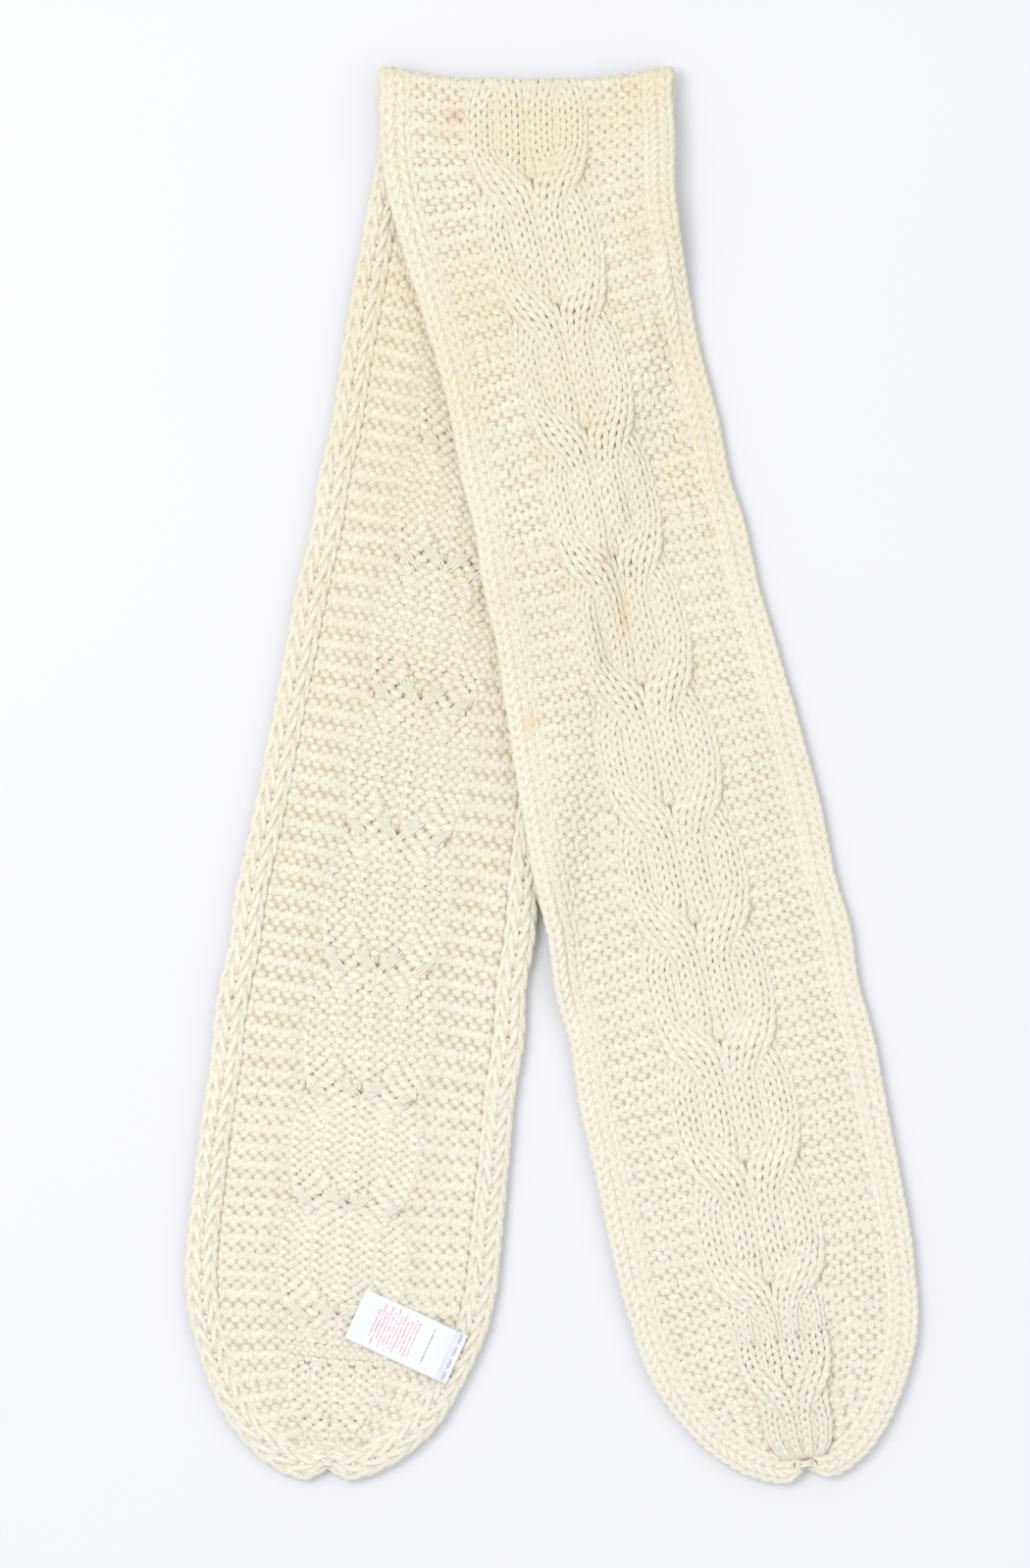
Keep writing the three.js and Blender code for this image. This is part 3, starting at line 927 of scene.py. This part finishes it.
class ScarfYarn(bpy.types.PropertyGroup):
    """Sizes of the yarn in each zone."""

    cable: length_property("Cable yarn", "Radius of the yarn in the cables", 1.62 * MM)
    garter: length_property("Garter yarn", "Radius of the yarn in the garter panels", 1.86 * MM)
    cord: length_property("Cord yarn", "Radius of the yarn on the edge cords' right side", 1.95 * MM)
    slipped: length_property("Slipped yarn", "Radius of the long stitches behind the cords", 1.84 * MM)
    depth: length_property("Depth", "How far the yarn goes in and out of the cloth", 1.35 * MM)
    seam: length_property("Seam yarn", "Radius of the yarn that closes each tip", 1.4 * MM)
    loose: length_property("Loose yarn", "Radius of the drawn-out loops behind each crossing", 1.15 * MM)


class ScarfLabel(bpy.types.PropertyGroup):
    """Sizes of the care label."""

    width: length_property("Width", "Width of the ribbon", 30.3 * MM)
    flap: length_property("Flap", "Length of the loose part", 56 * MM)
    hem: length_property("Hem", "Length of the part that is sewn down", 6 * MM)
    thickness: length_property("Thickness", "Thickness of one layer of ribbon", 0.28 * MM)
    thread: length_property("Thread", "Radius of the sewing thread", 0.32 * MM)


class ScarfColours(bpy.types.PropertyGroup):
    """Colours of the scarf and its table."""

    wool: colour_property("Wool", "Clean cream wool", (0.900, 0.858, 0.722))
    # The colour the wool goes to towards the top (+Y), in patches.
    upper_wool: colour_property("Aged wool", "Wool that has yellowed", (0.868, 0.790, 0.588))
    # Painted shade: the colour laid deep between the stitches and on the yarn's inward side.
    gap_shade_colour: colour_property("Wool in gaps", "Wool deep between the stitches", (0.74, 0.64, 0.45))
    satin: colour_property("Satin", "The care label's ribbon", (0.80, 0.82, 0.87))
    table: colour_property("Table", "The table that the scarf lies on", (0.772, 0.784, 0.814))


class ScarfStage(bpy.types.PropertyGroup):
    """Camera and light."""

    view_width: length_property("View width", "Width of the table that the camera sees", 0.577)
    camera_height: length_property("Camera height", "Height of the camera over the table", 3.0)
    key_power: bpy.props.FloatProperty(
        name="Key light", description="Power of the soft key light", default=29.5, min=0.0, unit="POWER"
    )
    fill: bpy.props.FloatProperty(
        name="Fill light", description="Strength of the even room light", default=0.82, min=0.0
    )


# ---- pieces ------------------------------------------------------------------------------------------

GROUND_THICK = 0.35 * MM  # half its thickness between the cords
GROUND_INSET = 4.5 * MM  # from the scarf's edge to the ground cloth's
ROLL_THICK = 0.9 * MM  # and what is added to that inside the rolled cords
GROUND_END = 13 * MM  # from the tip to the end of the ground cloth
RAISED_FRONT = 1.9 * MM  # how far the ground cloth stands out under the cables
RAISED_REAR = 0.9 * MM


def ground_ring(reach, points):
    """Cross-section of the cloth's body: thin between the cords and full inside them."""
    half = float(leaf_half(np.array(reach), GROUND_INSET))
    across = half * np.sin(np.linspace(-0.5, 0.5, points) * math.pi)
    from_edge = (half - np.abs(across)) / (CORD_WIDTH - 2 * GROUND_INSET)
    rolled = np.sqrt(np.clip(1 - (2 * np.clip(from_edge, 0, 1) - 1) ** 2, 0, 1))
    thick = GROUND_THICK * smooth(from_edge * 4) + ROLL_THICK * rolled * (from_edge < 1) + 0.1 * MM
    under_cable = smooth((float(cable_half(np.array(reach))) - np.abs(across)) / (5 * MM))
    under_cable = under_cable * (0.55 + 0.45 * smooth(np.abs(across) / (5 * MM)))
    raised = RAISED_REAR
    if reach < 0:
        raised = RAISED_FRONT + 0.6 * TONGUE_LIFT * float(smooth((tip_rows(reach) - LAST_CROSSING + 12) / 14))
    middle = raised * under_cable * (1 - 0.75 * float(crest(np.array(reach))))
    top = surface(reach, across, middle + thick)
    bottom = surface(reach, across, middle - thick)[::-1]
    return np.concatenate([top, bottom])


def ground_piece(segment):
    """The cloth's body under the stitches, as one closed sheet, with its flat size and area."""
    low, high = segment.low, segment.high
    front_end, rear_end = (HALF_TURN + leaf.length - GROUND_END for leaf in (FRONT, REAR))
    low, high = max(low, -front_end), min(high, rear_end)
    stations = np.linspace(low, high, max(9, int((high - low) / (5 * MM))))
    rings = np.stack([ground_ring(reach, 49) for reach in stations])
    count = rings.shape[1]
    index = np.arange(rings.shape[0] * count).reshape(-1, count)
    near, far = index[:-1], index[1:]
    quads = np.stack([near, far, np.roll(far, -1, 1), np.roll(near, -1, 1)], axis=-1)
    corners = np.concatenate([quads.ravel(), index[0], index[-1, ::-1]])
    sizes = np.concatenate([np.full(quads.size // 4, 4), [count, count]])
    uvs = np.zeros((len(corners), 2))
    # A shade mask of 0 gives the ground cloth the full painted gap shade.
    relief = np.zeros(rings.shape[0] * count)
    name = segment.name + "_ground_cloth"
    piece = mesh_piece(name, rings.reshape(-1, 3), corners, sizes, material("ground"), uvs, relief)
    widths = 2 * leaf_half(stations, GROUND_INSET)
    return piece, (float(widths.max()), high - low), float(np.mean(widths) * (high - low))


def replaced(segment, *kinds):
    """Names of the CAD nodes that a piece on this segment stands for."""
    if segment.name == "fold":
        return ["fold_" + kind for kind in kinds]
    if segment.name.endswith("_bend"):
        return []
    return [segment.name + "_" + kind for kind in kinds]


def place_piece(piece, segment, *kinds):
    segment.settle(piece)
    nodes = replaced(segment, *kinds)
    if nodes:
        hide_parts(*nodes)


def fasten(piece, body, node):
    """Puts a piece on one body and in the place of a CAD node."""
    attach(piece, body)
    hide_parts(node)


class SCARF_OT_cable_panel(bpy.types.Operator):
    """Knit the two mirrored cables down the middle"""

    bl_idname = "scarf.cable_panel"
    bl_label = "Cable panel"

    def execute(self, context):
        sizes = context.scene.scarf_yarn
        for segment in SEGMENTS:
            for side, strands in (("left", (0, 1)), ("right", (2, 3))):
                yarn = Yarn()
                rows = segment.rows()
                rows = rows[to_tip(reach_of(rows)) > -3 * MM]
                body, tongue = rows[np.abs(rows) <= TONGUE_ROW], rows[np.abs(rows) > TONGUE_ROW]
                for strand in strands:
                    place = cable_place(strand)
                    for part, wide in ((body, STRAND), (tongue, 2)):
                        radius = sizes.cable * self.fullness(part, wide)
                        reach = self.loop_reach(part)
                        lay(yarn, place, part, 0, wide, radius, reach, 0.21, sizes.depth, knitted)
                self.loose_strands(yarn, segment, -1 if side == "left" else 1, sizes.loose)
                piece = yarn.build(f"{segment.name}_{side}_cable_stitches", material("wool"))
                place_piece(piece, segment, *(["cable_panel"] if side == "left" else []))
        return {"FINISHED"}

    def loose_strands(self, yarn, segment, side, radius):
        """The drawn-out loops behind each crossing of the rear leaf, in two bundles on each side."""
        turn = np.linspace(-1, 1, 13)
        for crossing in range(CABLE_ROWS, LAST_CROSSING, CABLE_ROWS):
            if not segment.low <= reach_of(crossing) < segment.high:
                continue
            for bundle, share in enumerate((0.22, 0.74)):
                for strand in (-1, 0, 1):
                    chance = scatter(crossing, 3.0 * bundle + strand, 5 + side)
                    row = crossing - 0.2 + (1.0 + 0.3 * chance) * turn + 0.5 * bundle
                    reach = reach_of(row)
                    start = share * cable_half(reach) + 2.3 * MM * strand
                    across = side * (start - (5.6 + chance) * MM * turn)
                    height = (-3.3 + 1.9 * np.abs(turn) ** 3 + 0.25 * chance) * MM
                    path = surface(reach, across, height)[None]
                    # 0.9 on the shade mask: almost no painted shade on the loose loops.
                    yarn.add(path, -UP + 0 * path, radius * (1 - 0.3 * turn**2), 0.9)

    def fullness(self, rows, wide):
        """Yarn swells where a crossing spreads its stitches, and is squeezed where they are narrow."""
        beyond = near_crossing(rows)[1]
        spread = 1 + mix(0.28, 0.06, smooth(rows / 4)) * (1 - smooth(np.abs(beyond) / 3.5))
        stitch = cable_half(reach_of(rows)) / (2 * wide)
        behind = 1 + 0.2 * smooth(rows / 4)
        return (behind * spread * np.clip(stitch / (5.2 * MM), 0.84, 1))[:, None]

    def loop_reach(self, rows):
        """Long loops give clear columns on the front leaf, and short ones clear bumps behind the rear."""
        return mix(1.06, 0.78, smooth(rows / 4))[:, None]


class SCARF_OT_garter_panels(bpy.types.Operator):
    """Knit the garter-stitch panels beside the cables"""

    bl_idname = "scarf.garter_panels"
    bl_label = "Garter panels"

    def execute(self, context):
        sizes = context.scene.scarf_yarn
        for segment in SEGMENTS:
            for name, side in (("left", -1), ("right", 1)):
                yarn = Yarn()
                rows = segment.rows()
                reach = reach_of(rows)
                width = leaf_half(reach, CORD_WIDTH) + 2 * MM - cable_half(reach)
                counts = np.clip(np.round(width / GARTER_STITCH), 0, GARTER_STITCHES).astype(int)
                for count in range(1, GARTER_STITCHES + 1):
                    place, part = garter_place(side, count), rows[counts == count]
                    radius = sizes.garter * (1 + 0.09 * smooth(part / 4))[:, None]
                    lay(yarn, place, part, 0, count, radius, 0.80, 0.2, sizes.depth, garter)
                piece = yarn.build(f"{segment.name}_{name}_garter_stitches", material("wool"))
                place_piece(piece, segment, name + "_garter")
        return {"FINISHED"}


class SCARF_OT_edge_cords(bpy.types.Operator):
    """Knit the rolled edge cords, with plain stitches over the right side and slipped ones behind"""

    bl_idname = "scarf.edge_cords"
    bl_label = "Edge cords"

    def execute(self, context):
        sizes = context.scene.scarf_yarn
        for segment in SEGMENTS:
            for name, cord in CORDS.items():
                yarn = Yarn()
                rows, slipped = self.cord_rows(segment, cord, 1), self.cord_rows(segment, cord, 2)
                lay(yarn, cord.place, rows, 0, 2, sizes.cord, 0.95, 0.25, 0.8 * MM, knitted)
                lay(yarn, cord.place, slipped, 2, 2, sizes.slipped, 0.97, 0.27, 1.0 * MM, knitted, 2.0)
                piece = yarn.build(f"{segment.name}_{name}_cord_stitches", material("wool"))
                place_piece(piece, segment, name + "_cord")
        return {"FINISHED"}

    def cord_rows(self, segment, cord, step):
        """The segment's rows, and at a tip the rows round it as far as the cord's end."""
        rows = segment.rows(step)
        if segment.name == "front_lower":
            first = math.ceil((cord.first + 0.1 * step) / step)
            return (np.arange(first, rows[-1] / step + 0.4) + 0.5) * step
        if segment.name == "rear_lower":
            return np.arange(rows[0], cord.last - 0.2 * step, step)
        return rows


class SCARF_OT_ground_cloth(bpy.types.Operator):
    """Make the body of the cloth under the stitches"""

    bl_idname = "scarf.ground_cloth"
    bl_label = "Ground cloth"

    def execute(self, context):
        for segment in reversed(SEGMENTS):
            piece, flat, area = ground_piece(segment)
            segment.settle(piece)
            area = min(area, 0.999 * flat[0] * flat[1])
        return {"FINISHED"}


class SCARF_OT_tip_seams(bpy.types.Operator):
    """Sew the yarn that closes each tip"""

    bl_idname = "scarf.tip_seams"
    bl_label = "Tip seams"

    def execute(self, context):
        radius = context.scene.scarf_yarn.seam
        for leaf in (FRONT, REAR):
            low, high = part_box(leaf.name + "_tip_seam_yarn")
            centre, half = (low + high) / 2, (high.x - low.x) / 2
            turn = np.linspace(-1, 1, 25)
            tilt = float(leaf.line(leaf.length)[2])
            yarn = Yarn()
            for offset, bow in ((-1.3, 0.6), (1.3, -0.5)):
                x = centre.x + half * 0.6 * turn
                bowed = (offset + bow * (1 - turn**2)) * MM
                y = centre.y + NOTCH / 2 + (x - centre.x) * math.tan(tilt) + bowed
                z = low.z - 2.2 * MM + 1.6 * MM * (1 - turn**2)
                path = np.stack([x, y, z], axis=-1)[None]
                # 0.9 on the shade mask: almost no painted shade on the seam yarn.
                yarn.add(path, UP + 0 * path, radius * 0.8 * (1 - 0.35 * turn**4), 0.9)
            piece = yarn.build(leaf.name + "_tip_seam", material("wool"))
            fasten(piece, leaf.name + "_lower", leaf.name + "_tip_seam_yarn")
        return {"FINISHED"}


def label_frame():
    """The hinge of the label, the way the ribbon runs, and the way across it."""
    joint = next(joint for joint in frame["joints"] if joint["name"] == "label_lift")
    across = Vector(joint["axis"]).normalized()
    along = Vector((-across.y, across.x, 0.0))
    return Vector(joint["pos_m"]), along, across


def ribbon_piece(name, profile, width, columns, shape):
    """A ribbon whose closed profile of (along, up) places runs across its width.

    shape(along, across, up) gives the finished up of each place.
    """
    origin, along_way, across_way = label_frame()
    profile = np.array(profile)
    count = len(profile)
    across = np.linspace(-0.5, 0.5, columns)
    points = []
    for place in across:
        for along, up in profile:
            lifted = shape(along, place, up)
            points.append(origin + along_way * along + across_way * (place * width) + Vector((0, 0, lifted)))
    index = np.arange(columns * count).reshape(columns, count)
    near, far = index[:-1], index[1:]
    quads = np.stack([near, np.roll(near, -1, 1), np.roll(far, -1, 1), far], axis=-1).reshape(-1, 4)
    corners = np.concatenate([quads.ravel(), index[0, ::-1], index[-1]])
    sizes = np.concatenate([np.full(len(quads), 4), [count, count]])
    longest = profile[:, 0].max()
    u = profile[corners % count, 0] / longest
    v = across[corners // count] + 0.5
    return mesh_piece(name, np.array(points), corners, sizes, material("satin"), np.stack([u, v], axis=-1))


THREAD_STITCHES = 4  # sewing stitches in the row across the hem
LAYER_GAP = 0.25 * MM  # between the label's two layers


class SCARF_OT_care_label(bpy.types.Operator):
    """Sew on the care label, folded double"""

    bl_idname = "scarf.care_label"
    bl_label = "Care label"

    def execute(self, context):
        sizes = context.scene.scarf_label
        self.flap(sizes)
        self.hem(sizes)
        self.stitch_row(sizes)
        return {"FINISHED"}

    def flap(self, sizes):
        steps = np.linspace(0, sizes.flap, 41)
        top = LAYER_GAP + 2 * sizes.thickness
        half = top / 2
        bend = [(sizes.flap + half * math.sin(a), half * (1 + math.cos(a))) for a in (0.8, 1.6, 2.4)]
        profile = [(s, top) for s in steps] + bend + [(s, 0.0) for s in steps[::-1]]

        def shape(along, across, up):
            share = along / sizes.flap
            curl = 1.5 * MM * math.exp(-((along - 7 * MM) / (6 * MM)) ** 2) * (0.5 + across)
            wave = 0.5 * MM * math.sin(7.5 * share + 2.2 * across) * min(share * 4, 1)
            corner = 1.6 * MM * max(0.0, share - 0.75) * max(0.0, across)
            drop = -1.9 * MM * min(share * 3, 1)
            return up + drop + wave + curl * min(share * 12, 1) + corner

        piece = ribbon_piece("label_loose_flap", profile[::-1], sizes.width, 25, shape)
        fasten(piece, "label_flap", "label_flap")

    def hem(self, sizes):
        steps = np.linspace(-sizes.hem, 0.6 * MM, 13)
        top = LAYER_GAP + 2 * sizes.thickness
        profile = [(s, top) for s in steps] + [(s, 0.0) for s in steps[::-1]]

        def shape(along, across, up):
            pressed = 0.45 * MM * math.exp(-((along + 3 * MM) / (1.2 * MM)) ** 2)
            drop = -1.2 * MM * min(-along / sizes.hem * 1.5, 1)
            return up + drop - pressed + 0.15 * MM * math.sin(9 * across)

        piece = ribbon_piece("label_sewn_hem", profile[::-1], sizes.width, 25, shape)
        fasten(piece, "rear_lower", "label_hem")

    def stitch_row(self, sizes):
        origin, along_way, across_way = label_frame()
        turn = np.linspace(-1, 1, 17)
        for i in range(THREAD_STITCHES):
            middle = ((i + 0.5) / THREAD_STITCHES - 0.5) * sizes.width
            yarn = Yarn()
            across = middle + turn * 2.6 * MM
            up = -0.55 * MM + 0.85 * MM * (1 - turn**4)
            start = origin - along_way * 3 * MM
            path = np.array([[start + across_way * a + Vector((0, 0, u)) for a, u in zip(across, up)]])
            yarn.add(path, UP + 0 * path, sizes.thread, 0.9)
            piece = yarn.build(f"label_thread_stitch_{i + 1}", material("thread"))
            fasten(piece, "rear_lower", f"label_stitch_{i + 1}")


CAMERA_AT = (-0.0210, -0.0057)  # over this place on the table
PICTURE_RATIO = 1598 / 1050  # height of the picture over its width
TABLE_HALF = 4.0
TABLE_Z = -1.2 * MM  # the yarn bulges this much below the flat underside of the CAD


class SCARF_OT_stage(bpy.types.Operator):
    """Lay a pale table, soft lights and a camera that looks straight down"""

    bl_idname = "scarf.stage"
    bl_label = "Table, lights and camera"

    def execute(self, context):
        stage = context.scene.scarf_stage
        self.table()
        self.camera(stage)
        self.lights(stage)
        return {"FINISHED"}

    def table(self):
        corners = ((-1, -1), (1, -1), (1, 1), (-1, 1))
        points = np.array([(TABLE_HALF * x, TABLE_HALF * y, TABLE_Z) for x, y in corners])
        piece = mesh_piece("table", points, np.arange(4), np.array([4]), material("table"))

    def camera(self, stage):
        data = bpy.data.cameras.new("camera")
        camera = bpy.data.objects.new("camera", data)
        bpy.context.scene.collection.objects.link(camera)
        camera.location = (*CAMERA_AT, stage.camera_height)
        view_height = stage.view_width * PICTURE_RATIO
        data.lens = data.sensor_width * (stage.camera_height - MIDDLE) / view_height
        bpy.context.scene.camera = camera

    def lights(self, stage):
        scene = bpy.context.scene
        for name, place, size, power in (
            ("key_light", (-1.1, 0.5, 2.4), 1.2, stage.key_power),
            ("side_light", (1.9, -0.6, 2.2), 2.2, stage.key_power * 0.35),
        ):
            data = bpy.data.lights.new(name, "AREA")
            data.size, data.energy = size, power
            light = bpy.data.objects.new(name, data)
            scene.collection.objects.link(light)
            light.location = place
            light.rotation_euler = (-Vector(place)).to_track_quat("-Z", "Y").to_euler()
        world = bpy.data.worlds.new("room")
        world.use_nodes = True
        background = world.node_tree.nodes["Background"]
        background.inputs["Color"].default_value = (0.97, 0.98, 1.0, 1)
        background.inputs["Strength"].default_value = stage.fill
        scene.world = world
        scene.view_settings.view_transform = "Standard"


# ---- panel and registration --------------------------------------------------------------------------

OPERATORS = (
    SCARF_OT_stage,
    SCARF_OT_cable_panel,
    SCARF_OT_garter_panels,
    SCARF_OT_edge_cords,
    SCARF_OT_ground_cloth,
    SCARF_OT_tip_seams,
    SCARF_OT_care_label,
)


class SCARF_PT_panel(bpy.types.Panel):
    """Lists the scarf's pieces and settings"""

    bl_idname = "SCARF_PT_panel"
    bl_label = "Cable-knit scarf"
    bl_space_type = "VIEW_3D"
    bl_region_type = "UI"
    bl_category = "Scarf"

    def draw(self, context):
        for group in ("scarf_yarn", "scarf_label", "scarf_colours", "scarf_stage"):
            settings = getattr(context.scene, group)
            box = self.layout.box()
            for name in settings.__annotations__:
                box.prop(settings, name)
        for operator in OPERATORS:
            self.layout.operator(operator.bl_idname)


SETTINGS = {
    "scarf_yarn": ScarfYarn,
    "scarf_label": ScarfLabel,
    "scarf_colours": ScarfColours,
    "scarf_stage": ScarfStage,
}


def register():
    for made in (*SETTINGS.values(), *OPERATORS, SCARF_PT_panel):
        bpy.utils.register_class(made)
    for name, group in SETTINGS.items():
        setattr(bpy.types.Scene, name, bpy.props.PointerProperty(type=group))


def unregister():
    for name in SETTINGS:
        delattr(bpy.types.Scene, name)
    for made in reversed((*SETTINGS.values(), *OPERATORS, SCARF_PT_panel)):
        bpy.utils.unregister_class(made)


def main():
    register()
    for operator in OPERATORS:
        group, name = operator.bl_idname.split(".")
        getattr(getattr(bpy.ops, group), name)()
    bpy.context.view_layer.update()


if __name__ == "__main__":
    main()
